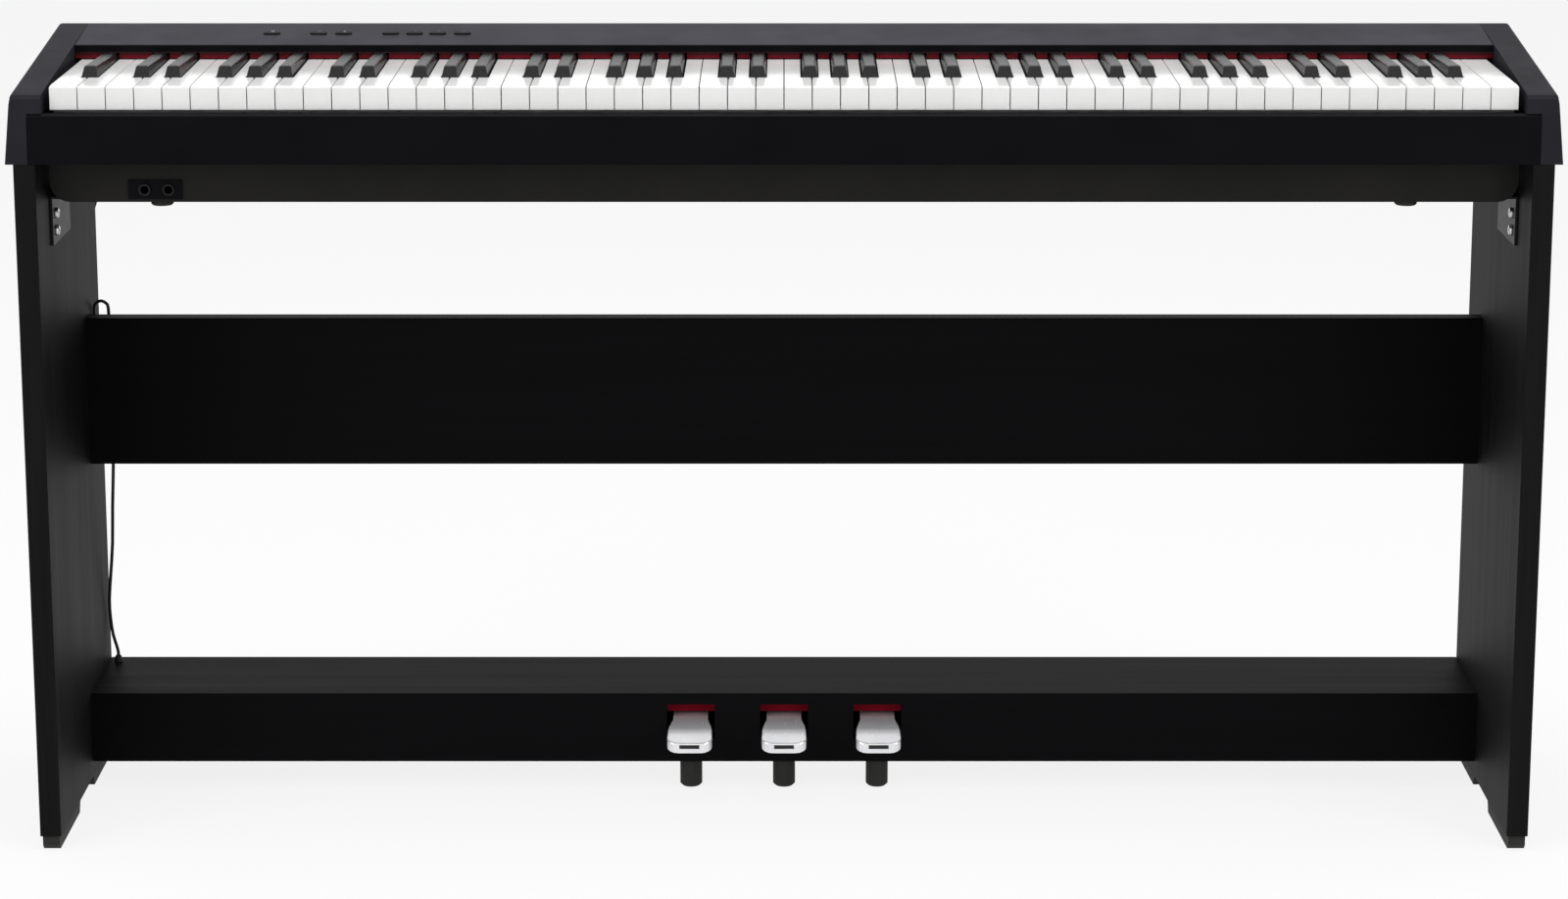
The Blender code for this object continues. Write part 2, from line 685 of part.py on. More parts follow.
def build_inner_parts():
    """The key bed with its hinge bead and front stop, and the two speakers."""
    radius = KEY_BEAD_RADIUS
    bead = []
    for step in range(5):
        turn = math.radians(45 * step)
        height = HINGE_Z - SEAT_GAP - radius + radius * math.sin(turn)
        bead.append((depth(KEY_HINGE_DEPTH) + radius * math.cos(turn), height))
    low = CASE_BASE_Z + RAIL_WALL + SEAT_GAP
    floor = low + KEY_BED_FLOOR
    profile = [(depth(KEY_BED_FRONT_DEPTH), low), (depth(KEY_REAR_DEPTH), low)]
    profile += bead
    profile += [
        (depth(KEY_HINGE_DEPTH - radius), floor),
        (depth(KEY_STOP_DEPTH[1]), floor),
        (depth(KEY_STOP_DEPTH[1]), KEY_STOP_Z),
        (depth(KEY_STOP_DEPTH[0]), KEY_STOP_Z),
        (depth(KEY_STOP_DEPTH[0]), floor),
        (depth(KEY_BED_FRONT_DEPTH), floor),
    ]
    bed = bmesh.new()
    prism(bed, profile, "X", -KEY_HALF_SPAN, KEY_HALF_SPAN)
    add_object("key_bed", bed, STEEL)
    dome = SPEAKER_RADIUS * 0.24
    rim = SPEAKER_RADIUS - 0.004
    magnet = SPEAKER_RADIUS * 0.6
    shape = (
        (0.0, 0.008),
        (dome, 0.008),
        (rim - 0.008, 0.002),
        (rim, 0.002),
        (rim, 0.0),
        (SPEAKER_RADIUS, 0.0),
        (SPEAKER_RADIUS, 0.003),
        (magnet, 0.020),
        (magnet, SPEAKER_HEIGHT),
        (0.0, SPEAKER_HEIGHT),
    )
    seat = LOWER_BASE_Z + LOWER_WALL + SEAT_GAP
    for name, side in (("left", -1), ("right", 1)):
        speaker = bmesh.new()
        turned(speaker, shape, Matrix.Translation((side * SPEAKER_X, depth(SPEAKER_DEPTH), seat)), 24)
        add_object(f"speaker_{name}", speaker, BLACK_STEEL)


def build_sockets():
    plate = bmesh.new()
    front = depth(LOWER_FRONT_DEPTH - SEAT_GAP - JACK_PLATE_THICK)
    block(
        plate,
        (JACK_PLATE_X[0], front, JACK_PLATE_Z[0]),
        (JACK_PLATE_X[1], front + JACK_PLATE_THICK, JACK_PLATE_Z[1]),
    )
    jack_panel = add_object("headphone_socket_panel", plate, BLACK_PLASTIC)
    barrels = bmesh.new()
    bores = bmesh.new()
    for centre in JACK_X:
        spot = (centre, JACK_Z)
        cylinder(barrels, spot, JACK_OUTER, "Y", front - 0.0012, front + JACK_LENGTH, 24)
        cylinder(bores, spot, JACK_BORE, "Y", front - 0.01, front + JACK_LENGTH - 0.002, 24)
    fuse(jack_panel, barrels, "jack_barrels")
    cut(jack_panel, bores, "jack_bores")
    panel = bmesh.new()
    block(
        panel,
        (SOCKET_X + SOCKET_PANEL_X[0], depth(BODY_REAR_DEPTH - 0.0175), SOCKET_Z - 0.0117),
        (SOCKET_X + SOCKET_PANEL_X[1], depth(SOCKET_PANEL_DEPTH - 0.004), SOCKET_Z + 0.0117),
    )
    socket_panel = add_object("rear_socket_panel", panel, BLACK_PLASTIC)
    holes = bmesh.new()
    rear = depth(SOCKET_PANEL_DEPTH - 0.004)
    block(
        holes,
        (SOCKET_X + 0.015, rear - 0.008, SOCKET_Z - 0.004),
        (SOCKET_X + 0.024, rear + 0.01, SOCKET_Z + 0.004),
    )
    cylinder(holes, (SOCKET_X + 0.040, SOCKET_Z), 0.0033, "Y", rear - 0.008, rear + 0.01, 16)
    cut(socket_panel, holes, "socket_holes")


def build_case_feet():
    profile = (
        (0.0, -CASE_FOOT_HEIGHT),
        (CASE_FOOT_RADIUS - 0.0012, -CASE_FOOT_HEIGHT),
        (CASE_FOOT_RADIUS, -CASE_FOOT_HEIGHT + 0.0012),
        (CASE_FOOT_RADIUS, -SEAT_GAP),
        (0.0, -SEAT_GAP),
    )
    for side_name, side in (("left", -1), ("right", 1)):
        for row, spot in zip(("front", "rear"), CASE_FOOT_DEPTHS):
            foot = bmesh.new()
            place = Matrix.Translation((side * CASE_FOOT_X, depth(spot), LOWER_BASE_Z))
            turned(foot, profile, place, 24)
            add_object(f"case_foot_{row}_{side_name}", foot, RUBBER)


def build_side(name, side):
    """An upright board that stands on its glide and carries the piano's end."""
    outline = [
        (depth(0.0), GLIDE_HEIGHT + SEAT_GAP),
        (depth(STAND_DEPTH), GLIDE_HEIGHT + SEAT_GAP),
        (depth(STAND_DEPTH), SIDE_TOP_Z),
        (depth(0.0), SIDE_TOP_Z),
    ]
    panel = bmesh.new()
    prism(panel, outline, "X", side * SIDE_INNER_X, side * SIDE_OUTER_X)
    bmesh.ops.recalc_face_normals(panel, faces=panel.faces)
    round_edges(panel, lambda a, b: abs(a.x - b.x) < 1e-6 and abs(a.y - b.y) < 1e-6, 0.0008)
    add_object(name, panel, BLACK_BOARD)


def build_glides():
    """A moulded skid under each side panel: a foot at each end, joined by a thin bar against the board."""
    chamfer = 0.004
    start = 0.002
    end = STAND_DEPTH - 0.002
    outline = [
        (start, chamfer),
        (start + chamfer, 0.0),
        (start + GLIDE_LENGTH - chamfer, 0.0),
        (start + GLIDE_LENGTH, GLIDE_HEIGHT - GLIDE_BAR),
        (end - GLIDE_LENGTH, GLIDE_HEIGHT - GLIDE_BAR),
        (end - GLIDE_LENGTH + chamfer, 0.0),
        (end - chamfer, 0.0),
        (end, chamfer),
        (end, GLIDE_HEIGHT),
        (start, GLIDE_HEIGHT),
    ]
    for name, side in (("left", -1), ("right", 1)):
        glide = bmesh.new()
        middle = side * (SIDE_INNER_X + SIDE_THICKNESS / 2)
        shape = [(depth(along), height) for along, height in outline]
        prism(glide, shape, "X", middle - GLIDE_WIDTH / 2, middle + GLIDE_WIDTH / 2)
        add_object(f"foot_glide_{name}", glide, RUBBER)


def build_boards():
    reach = SIDE_INNER_X - SEAT_GAP
    middle = bmesh.new()
    block(
        middle,
        (-reach, depth(MIDDLE_FRONT_DEPTH), MIDDLE_Z[0]),
        (reach, depth(MIDDLE_FRONT_DEPTH + MIDDLE_THICKNESS), MIDDLE_Z[1]),
    )
    bmesh.ops.recalc_face_normals(middle, faces=middle.faces)
    round_edges(middle, lambda a, b: abs(a.y - b.y) < 1e-6 and abs(a.z - b.z) < 1e-6, 0.0008)
    add_object("middle_panel", middle, BLACK_BOARD)
    low, high = BOX_Z
    top_low = high - BOX_WALL
    front = bmesh.new()
    block(
        front,
        (-reach, depth(BOX_FRONT_DEPTH), low),
        (reach, depth(BOX_FRONT_DEPTH + BOX_WALL), high),
    )
    front_board = add_object("pedal_box_front", front, BLACK_BOARD)
    slots = bmesh.new()
    rebates = bmesh.new()
    for centre in PEDAL_X:
        block(
            slots,
            (centre - PEDAL_SLOT_WIDTH / 2, depth(BOX_FRONT_DEPTH - 0.01), PEDAL_SLOT_Z[0]),
            (centre + PEDAL_SLOT_WIDTH / 2, depth(BOX_FRONT_DEPTH + BOX_WALL + 0.01), PEDAL_SLOT_Z[1]),
        )
        spot = (centre, depth(FOOT_DEPTH))
        cylinder(rebates, spot, FOOT_RADIUS + SLIDE_GAP, "Z", low - 0.01, PEDAL_SLOT_Z[0] + 0.001, 24)
    cut(front_board, slots, "pedal_slots")
    cut(front_board, rebates, "foot_rebates")
    top = bmesh.new()
    block(
        top,
        (-reach, depth(BOX_FRONT_DEPTH + BOX_WALL) + SEAT_GAP, top_low),
        (reach, depth(BOX_SEAM_DEPTH), high),
    )
    add_object("pedal_box_top", top, BLACK_BOARD)
    lid = bmesh.new()
    block(
        lid,
        (-reach, depth(BOX_SEAM_DEPTH) + SEAT_GAP, top_low),
        (reach, depth(STAND_DEPTH - BOX_WALL) - SEAT_GAP, high),
    )
    add_object("pedal_box_lid", lid, BLACK_BOARD)
    back = bmesh.new()
    block(back, (-reach, depth(STAND_DEPTH - BOX_WALL), low), (reach, depth(STAND_DEPTH), high))
    add_object("pedal_box_back", back, BLACK_BOARD)
    base = bmesh.new()
    block(
        base,
        (-reach, depth(BOX_FRONT_DEPTH + BOX_WALL) + SEAT_GAP, low),
        (reach, depth(STAND_DEPTH - BOX_WALL) - SEAT_GAP, low + BASE_THICKNESS),
    )
    base_board = add_object("pedal_box_base", base, BLACK_BOARD)
    bores = bmesh.new()
    for centre in PEDAL_X:
        spot = (centre, depth(FOOT_DEPTH))
        cylinder(bores, spot, FOOT_RADIUS + SLIDE_GAP, "Z", low - 0.01, low + 0.02, 24)
    cut(base_board, bores, "foot_bores")
    blocks = bmesh.new()
    axle_holes = bmesh.new()
    for centre in BEARING_X:
        half = BEARING_WIDTH / 2
        block(
            blocks,
            (centre - half, depth(PEDAL_AXLE_DEPTH - BEARING_DEPTH / 2), low + BASE_THICKNESS - 0.003),
            (centre + half, depth(PEDAL_AXLE_DEPTH + BEARING_DEPTH / 2), AXLE_Z + BEARING_CAP),
        )
    spot = (depth(PEDAL_AXLE_DEPTH), AXLE_Z)
    past = AXLE_HALF_LENGTH + 0.01
    cylinder(axle_holes, spot, AXLE_RADIUS + SEAT_GAP, "X", -past, past, 16)
    fuse(base_board, blocks, "bearing_blocks")
    cut(base_board, axle_holes, "axle_bore")


def pedal_outline():
    """The plan of a pedal: parallel inside the box, widening to a round-cornered tip."""
    root = BOX_FRONT_DEPTH - 0.004
    tip = BOX_FRONT_DEPTH - PEDAL_REACH
    half = PEDAL_TIP_WIDTH / 2
    corner = 0.010
    narrow = PEDAL_ROOT_WIDTH / 2
    right = [(narrow, depth(PEDAL_AXLE_DEPTH + 0.010)), (narrow, depth(root))]
    for step in range(1, 4):
        share = step / 4
        width = narrow + (half - narrow) * math.sin(share * math.pi / 2)
        right.append((width, depth(root + (tip + corner + 0.006 - root) * share)))
    for step in range(5):
        turn = math.radians(90 * step / 4)
        right.append((half - corner + corner * math.cos(turn), depth(tip + corner - corner * math.sin(turn))))
    left = [(-across, along) for across, along in right[::-1]]
    return right + left


def bend_down(mesh_data, start, length, drop):
    """Curves what lies in front of Y = start downwards, by the whole drop at the far end."""
    for step in range(1, 6):
        geometry = mesh_data.verts[:] + mesh_data.edges[:] + mesh_data.faces[:]
        spot = (0, start - length * step / 6, 0)
        bmesh.ops.bisect_plane(mesh_data, geom=geometry, plane_co=spot, plane_no=(0, 1, 0))
    for vert in mesh_data.verts:
        share = max(0.0, (start - vert.co.y) / length)
        vert.co.z -= drop * share**2


def build_pedals():
    """Crowned levers with a turned-down lip, which has a shallow notch in its face."""
    tip = depth(BOX_FRONT_DEPTH - PEDAL_REACH)
    for name, centre in zip(PEDAL_NAMES, PEDAL_X):
        lever = bmesh.new()
        shape = [(centre + across, along) for across, along in pedal_outline()]
        prism(lever, shape, "Z", PEDAL_TOP_Z - PEDAL_THICKNESS, PEDAL_TOP_Z)
        bmesh.ops.recalc_face_normals(lever, faces=lever.faces)
        lip_line = tip + PEDAL_LIP_DEPTH
        underside = PEDAL_TOP_Z - PEDAL_THICKNESS
        push_down(lever, lip_line, underside, underside - PEDAL_LIP_Z)
        edge_line = depth(BOX_FRONT_DEPTH - 0.003)
        round_edges(
            lever,
            lambda a, b: min(a.z, b.z) > PEDAL_TOP_Z - 1e-6 and max(a.y, b.y) < edge_line,
            0.0012,
            2,
        )
        round_edges(
            lever,
            lambda a, b: max(a.z, b.z) < PEDAL_LIP_Z + 1e-6 and max(a.y, b.y) < lip_line - 1e-5,
            0.0016,
            2,
        )
        bend_down(lever, edge_line, edge_line - tip, PEDAL_DROP)
        pedal = add_object(f"pedal_{name}", lever, CHROME, (centre, depth(PEDAL_AXLE_DEPTH), AXLE_Z))
        smooth(pedal)
        notch = bmesh.new()
        top = PEDAL_TOP_Z - PEDAL_DROP - 0.0014
        half = PEDAL_NOTCH_WIDTH / 2
        block(
            notch,
            (centre - half, tip - 0.01, top - PEDAL_NOTCH_HEIGHT),
            (centre + half, tip + PEDAL_NOTCH_DEPTH, top),
        )
        cut(pedal, notch, f"pedal_notch_{name}")
    axle = bmesh.new()
    spot = (depth(PEDAL_AXLE_DEPTH), AXLE_Z)
    cylinder(axle, spot, AXLE_RADIUS, "X", -AXLE_HALF_LENGTH, AXLE_HALF_LENGTH, 16)
    add_object("pedal_axle", axle, STEEL)


def build_pedal_felts():
    """One felt strip behind the front board, which shows above the pedals in their slots."""
    felt = bmesh.new()
    rear = depth(BOX_FRONT_DEPTH + BOX_WALL) + SEAT_GAP
    top = BOX_Z[1] - BOX_WALL - SEAT_GAP
    half = STOP_FELT_HALF_WIDTH
    block(felt, (-half, rear, top - STOP_FELT_HEIGHT), (half, rear + STOP_FELT_DEPTH, top))
    add_object("pedal_stop_felt", felt, RED_FELT)


def build_adjusters():
    profile = (
        (0.0, 0.0),
        (FOOT_RADIUS - 0.002, 0.0),
        (FOOT_RADIUS, 0.002),
        (FOOT_RADIUS, FOOT_TOP_Z),
        (0.0, FOOT_TOP_Z),
    )
    for name, centre in zip(PEDAL_NAMES, PEDAL_X):
        foot = bmesh.new()
        turned(foot, profile, Matrix.Translation((centre, depth(FOOT_DEPTH), 0.0)), 24)
        smooth(add_object(f"adjuster_foot_{name}", foot, RUBBER, (centre, depth(FOOT_DEPTH), 0.0)))


def build_bracket(name, side):
    """A folded angle: one leg against the side panel, one under the lower case."""
    top = LOWER_BASE_Z - SEAT_GAP
    wall = side * (SIDE_INNER_X - SEAT_GAP)
    path = [(wall, BRACKET_Z), (wall, top), (wall - side * BRACKET_REACH, top)]
    if side > 0:
        path = path[::-1]
    bracket = bmesh.new()
    shape = folded(path, BRACKET_WALL)
    prism(bracket, shape, "Y", depth(BRACKET_DEPTH[0]), depth(BRACKET_DEPTH[1]))
    add_object(name, bracket, BLACK_STEEL)


def catmull(points, steps):
    """Points on a smooth curve through the given ones."""
    padded = [points[0] * 2 - points[1]] + points + [points[-1] * 2 - points[-2]]
    found = []
    for index in range(1, len(padded) - 2):
        before, start, end, after = padded[index - 1 : index + 3]
        for step in range(steps):
            t = step / steps
            found.append(
                0.5
                * (
                    2 * start
                    + (end - before) * t
                    + (2 * before - 5 * start + 4 * end - after) * t**2
                    + (3 * start - before - 3 * end + after) * t**3
                )
            )
    return found + [points[-1]]


CABLE_ROUTE = (
    (SOCKET_X, PLUG_REAR_DEPTH + SEAT_GAP, SOCKET_Z),
    (SOCKET_X, 0.2860, SOCKET_Z - 0.0004),
    (-0.5852, 0.2925, 0.6245),
    (-0.5870, 0.2965, 0.6150),
    (-0.5930, 0.2965, 0.5950),
    (-0.6040, 0.2930, 0.5680),
    (-0.6160, 0.2870, 0.5400),
    (-0.6260, 0.2810, 0.5120),
    (-0.6310, 0.2775, 0.4800),
    (-0.6320, 0.2765, 0.4450),
    (-0.6320, 0.2765, 0.4050),
    (-0.6315, 0.2770, 0.3700),
    (-0.6295, 0.2785, 0.3460),
    (-0.6250, 0.2785, 0.3290),
    (-0.6195, 0.2735, 0.3190),
    (-0.6175, 0.2630, 0.3170),
    (-0.6180, 0.2520, 0.3240),
    (-0.6195, 0.2430, 0.3400),
    (-0.6207, 0.2380, 0.3640),
    (-0.6208, 0.2360, 0.3900),
    (-0.6208, 0.2350, 0.4150),
    (-0.6208, 0.2350, 0.4280),
    (-0.6189, 0.2350, 0.4325),
    (-0.6144, 0.2350, 0.4346),
    (-0.6099, 0.2350, 0.4325),
    (-0.6080, 0.2350, 0.4280),
    (-0.6078, 0.2350, 0.4100),
    (-0.6076, 0.2345, 0.3700),
    (-0.6076, 0.2340, 0.3250),
    (-0.6085, 0.2340, 0.2808),
    (-0.6108, 0.2360, 0.2430),
    (-0.6128, 0.2400, 0.2075),
    (-0.6160, 0.2450, 0.1800),
    (-0.6193, 0.2500, 0.1520),
    (-0.6196, 0.2540, 0.1320),
    (-0.6180, 0.2555, 0.1160),
    (-0.6152, 0.2560, 0.1050),
    (GLAND_X, GLAND_DEPTH, BOX_Z[1] + GLAND_HEIGHT + 0.0035),
    (GLAND_X, GLAND_DEPTH, BOX_Z[1] + GLAND_HEIGHT + SEAT_GAP),
)


def build_cable():
    """The free cord from the plug behind the piano to the gland on the pedal box."""
    route = [Vector((across, depth(behind), height)) for across, behind, height in CABLE_ROUTE]
    points = catmull(route, 2)
    curve = bpy.data.curves.new("pedal_cable", "CURVE")
    curve.dimensions = "3D"
    curve.bevel_depth = CABLE_RADIUS
    curve.bevel_resolution = 2
    curve.use_fill_caps = True
    spline = curve.splines.new("POLY")
    spline.points.add(len(points) - 1)
    for item, point in zip(spline.points, points):
        item.co = (*point, 1.0)
    cable = bpy.data.objects.new("pedal_cable", curve)
    curve.materials.append(material("pedal_cable", *RUBBER))
    bpy.context.scene.collection.objects.link(cable)


def build_cable_ends():
    """The plug in the rear socket and the gland on the pedal box's lid."""
    socket_rear = SOCKET_PANEL_DEPTH - 0.004 + SEAT_GAP
    length = PLUG_REAR_DEPTH - socket_rear
    grip = (
        (0.0, 0.0),
        (PLUG_RADIUS, 0.0),
        (PLUG_RADIUS, length * 0.55),
        (PLUG_RADIUS - 0.001, length * 0.62),
        (CABLE_RADIUS + 0.0009, length),
        (0.0, length),
    )
    plug = bmesh.new()
    backwards = Matrix.Rotation(math.radians(-90), 4, "X")
    place = Matrix.Translation((SOCKET_X, depth(socket_rear), SOCKET_Z)) @ backwards
    turned(plug, grip, place, 16)
    smooth(add_object("pedal_plug", plug, BLACK_PLASTIC))
    top = GLAND_HEIGHT - SEAT_GAP
    collar = ((0.0, 0.0), (0.0038, 0.0), (0.0038, 0.002), (0.0026, top), (0.0, top))
    gland = bmesh.new()
    place = Matrix.Translation((GLAND_X, depth(GLAND_DEPTH), BOX_Z[1] + SEAT_GAP))
    turned(gland, collar, place, 16)
    smooth(add_object("cable_gland", gland, RUBBER))


def build_clip():
    """A clip with a funnel mouth that holds the cable against the left side panel."""
    back = -SIDE_INNER_X + SEAT_GAP
    front = back + CLIP_REACH
    throat = back + 0.0002
    slot = CABLE_RADIUS + SEAT_GAP
    half = [(back, CLIP_HALF_DEPTH), (front, CLIP_HALF_DEPTH), (front, 0.0032), (throat, slot)]
    outline = [(across, depth(CLIP_DEPTH - behind)) for across, behind in half]
    outline += [(across, depth(CLIP_DEPTH + behind)) for across, behind in half[::-1]]
    clip = bmesh.new()
    prism(clip, outline, "Z", *CLIP_Z)
    add_object("cable_clip", clip, BLACK_PLASTIC)


def main():
    for obj in list(bpy.data.objects):
        bpy.data.objects.remove(obj)
    build_keys()
    build_upper_case()
    build_buttons()
    build_cheek("end_cheek_left", -1)
    build_cheek("end_cheek_right", 1)
    build_front_rail()
    build_felt_strip()
    build_lower_case()
    build_inner_parts()
    build_sockets()
    build_case_feet()
    build_side("side_panel_left", -1)
    build_side("side_panel_right", 1)
    build_glides()
    build_boards()
    build_pedals()
    build_pedal_felts()
    build_adjusters()
    build_bracket("stand_bracket_left", -1)
    build_bracket("stand_bracket_right", 1)
    build_cable()
    build_cable_ends()
    build_clip()


main()
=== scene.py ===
# %% [markdown]
# A full-size slab piano on its wooden stand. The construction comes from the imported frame: every key set,
# board and pedal is already there as a solid. This lesson gives the piano its looks. It sets the camera first,
# then mixes one finish after another, sets the light, and last adds the small trim that a drawing leaves out.

# %% Load the frame
import math

import bmesh
import bpy
from mathutils import Matrix, Vector


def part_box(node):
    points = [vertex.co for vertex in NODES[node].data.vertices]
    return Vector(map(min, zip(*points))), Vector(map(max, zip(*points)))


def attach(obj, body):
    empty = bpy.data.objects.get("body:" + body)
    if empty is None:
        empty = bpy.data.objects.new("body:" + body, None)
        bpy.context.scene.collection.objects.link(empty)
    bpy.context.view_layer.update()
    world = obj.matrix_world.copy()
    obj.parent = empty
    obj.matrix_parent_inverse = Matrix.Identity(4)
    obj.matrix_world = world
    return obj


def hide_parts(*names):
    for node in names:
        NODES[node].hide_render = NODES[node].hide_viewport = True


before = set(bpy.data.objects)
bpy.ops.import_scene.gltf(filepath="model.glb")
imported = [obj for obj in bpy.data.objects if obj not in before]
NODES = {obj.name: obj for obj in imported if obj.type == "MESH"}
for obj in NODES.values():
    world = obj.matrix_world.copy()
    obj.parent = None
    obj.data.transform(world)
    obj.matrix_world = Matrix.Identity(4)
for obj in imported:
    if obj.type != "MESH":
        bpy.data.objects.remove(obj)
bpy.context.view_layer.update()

FRONT_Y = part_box("side_panel_left")[0].y
print("frame holds", len(NODES), "nodes")

# %% [markdown]
# The picture was taken from in front of the keyboard and a little above it, with the upright lines kept
# upright. A camera that tilts down a little and shifts its lens slightly gives nearly that view, and it still
# turns well to the other sides.

# %% Camera
CAMERA_DISTANCE = 3.149
CAMERA_HEIGHT = 1.153
CAMERA_TILT = math.radians(11.63)
CAMERA_SHIFT = -0.11
CAMERA_LENS = 88.3

camera_data = bpy.data.cameras.new("camera")
camera = bpy.data.objects.new("camera", camera_data)
bpy.context.scene.collection.objects.link(camera)
camera.location = (0.0, FRONT_Y - CAMERA_DISTANCE, CAMERA_HEIGHT)
camera.rotation_euler = (math.radians(90) - CAMERA_TILT, 0.0, 0.0)
camera_data.lens = CAMERA_LENS
camera_data.shift_y = CAMERA_SHIFT
bpy.context.scene.camera = camera
print("camera with a", CAMERA_LENS, "mm lens")

# %% [markdown]
# Shader maths is easier to read as expressions than as a web of nodes. This small class wraps a socket, so that
# adding or multiplying adds the Math node for it. A second class holds one material, and one method of it
# makes every other node.

# %% Shader expressions


def plug(tree, socket, value):
    if isinstance(value, Shade):
        tree.links.new(value.socket, socket)
    else:
        socket.default_value = value


class Shade:
    """A socket of a material that can be used in sums."""

    def __init__(self, tree, socket):
        self.tree = tree
        self.socket = socket

    def math(self, operation, other):
        node = self.tree.nodes.new("ShaderNodeMath")
        node.operation = operation
        plug(self.tree, node.inputs[0], self)
        plug(self.tree, node.inputs[1], other)
        return Shade(self.tree, node.outputs[0])

    def __add__(self, other):
        return self.math("ADD", other)

    __radd__ = __add__

    def __mul__(self, other):
        return self.math("MULTIPLY", other)

    __rmul__ = __mul__


class Finish:
    """A material with its Principled shader, and one method for its other nodes."""

    def __init__(self, name, roughness, specular=0.5, metallic=0.0):
        self.material = bpy.data.materials.new(name)
        self.material.use_nodes = True
        self.tree = self.material.node_tree
        self.shader = self.tree.nodes["Principled BSDF"]
        self.set("Roughness", roughness)
        self.set("Specular IOR Level", specular)
        self.set("Metallic", metallic)

    def set(self, socket, value):
        plug(self.tree, self.shader.inputs[socket], value)

    def node(self, kind, output, settings=None, **values):
        node = self.tree.nodes.new(kind)
        for key, value in (settings or {}).items():
            setattr(node, key, value)
        for key, value in values.items():
            plug(self.tree, node.inputs[key], value)
        return Shade(self.tree, node.outputs[output])

    def noise(self, size, detail, stretch=(1.0, 1.0, 1.0)):
        """A cloudy value between 0 and 1 with spots of this size, drawn out along an axis."""
        spot = self.node("ShaderNodeTexCoord", "Object")
        spot = self.node("ShaderNodeMapping", "Vector", Vector=spot, Scale=stretch)
        return self.node("ShaderNodeTexNoise", "Fac", Vector=spot, Scale=1.0 / size, Detail=detail)

    def along(self, axis):
        """The place along one axis, in metres."""
        spot = self.node("ShaderNodeTexCoord", "Object")
        return self.node("ShaderNodeSeparateXYZ", axis, Vector=spot)

    def tint(self, share, first, second):
        """The base colour runs from the first colour to the second as share runs from 0 to 1."""
        ramp = self.tree.nodes.new("ShaderNodeValToRGB")
        ramp.color_ramp.elements[0].position = 0.3
        ramp.color_ramp.elements[0].color = (*first, 1.0)
        ramp.color_ramp.elements[1].position = 0.7
        ramp.color_ramp.elements[1].color = (*second, 1.0)
        plug(self.tree, ramp.inputs["Fac"], share)
        self.set("Base Color", Shade(self.tree, ramp.outputs["Color"]))

    def relief(self, height, depth, strength):
        bump = self.node("ShaderNodeBump", "Normal", Height=height, Distance=depth, Strength=strength)
        self.set("Normal", bump)


def dress(finish, *names):
    for name in names:
        NODES[name].data.materials.clear()
        NODES[name].data.materials.append(finish.material)
    print(finish.material.name, "on", len(names), "nodes")


def named(*starts):
    return [name for name in NODES if name.startswith(starts)]


# %% [markdown]
# The piano's mouldings are spark-eroded plastic: the steel mould has a fine matte texture, and the plastic
# copies it. Three things make that believable: a bump of half a millimetre, a gloss that changes slowly from
# place to place, and a colour that is never quite even. One helper mixes them, and each moulding gets its own
# colour. The control panel is charcoal on top. Its narrow front face, in front of a given Y, gets a near-black
# painted shade, so the panel's colour depends on the place along Y. The front rail is a deeper, cooler black,
# and the lower case is a slightly warmer one.

# %% Moulded plastic
GRAIN_SIZE = 0.0006
GRAIN_DEPTH = 0.00008
EDGE_WIDTH = 0.0008


def moulded(name, dark, light, roughness, specular, shaded_front_y=None):
    """Grained plastic. With a front Y given, the faces in front of it get the dark colour as painted shade, and
    clouds behind it.
    """
    finish = Finish(name, roughness, specular)
    clouds = finish.noise(0.06, 4.0)
    if shaded_front_y is not None:
        # painted shade: the faces in front of the given Y, the panel's front face, get the dark colour
        behind = (finish.along("Y") + (-shaded_front_y - EDGE_WIDTH / 2)) * (1.0 / EDGE_WIDTH)
        clouds = behind.math("MINIMUM", clouds * 0.3 + 0.5)
    finish.tint(clouds, dark, light)
    finish.set("Roughness", finish.noise(0.025, 3.0) * 0.16 + (roughness - 0.08))
    finish.relief(finish.noise(GRAIN_SIZE, 2.0), GRAIN_DEPTH, 0.5)
    return finish


PANEL_COLOURS = ((0.004, 0.004, 0.005), (0.040, 0.039, 0.048))
panel_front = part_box("control_panel_case")[0].y
# painted shade: the panel's front face gets the dark one of these colours
panel_plastic = moulded("panel_plastic", *PANEL_COLOURS, 0.52, 0.03, shaded_front_y=panel_front)
cheek_plastic = moulded("cheek_plastic", (0.014, 0.014, 0.017), (0.021, 0.021, 0.025), 0.52, 0.03)
rail_plastic = moulded("rail_plastic", (0.0016, 0.0015, 0.0022), (0.0028, 0.0026, 0.0036), 0.45, 0.05)
tray_plastic = moulded("tray_plastic", (0.0070, 0.0066, 0.0060), (0.0100, 0.0094, 0.0086), 0.50, 0.12)
button_plastic = moulded("button_plastic", (0.0020, 0.0020, 0.0025), (0.0035, 0.0035, 0.0040), 0.42, 0.03)
dress(panel_plastic, "control_panel_case")
dress(cheek_plastic, "end_cheek_left", "end_cheek_right")
dress(rail_plastic, "front_rail", "headphone_socket_panel", "rear_socket_panel")
dress(tray_plastic, "lower_case")
dress(button_plastic, *named("button_"), "cable_clip", "pedal_plug")

# %% [markdown]
# White keys are polished plastic with a faint warm cloudiness and a clear, glossy skin, which a coat layer
# gives. Black keys are moulded with a very fine lengthwise brushing, so that fingers don't slip. Their gloss
# varies in streaks along the key.

# %% Keys
white_gloss = Finish("white_key_plastic", 0.20)
white_gloss.tint(white_gloss.noise(0.10, 3.0), (0.80, 0.80, 0.79), (0.85, 0.85, 0.845))
white_gloss.set("Roughness", white_gloss.noise(0.012, 3.0) * 0.12 + 0.14)
white_gloss.set("Coat Weight", 0.4)
white_gloss.set("Coat Roughness", 0.06)
white_gloss.relief(white_gloss.noise(0.004, 2.0), 0.00002, 0.4)

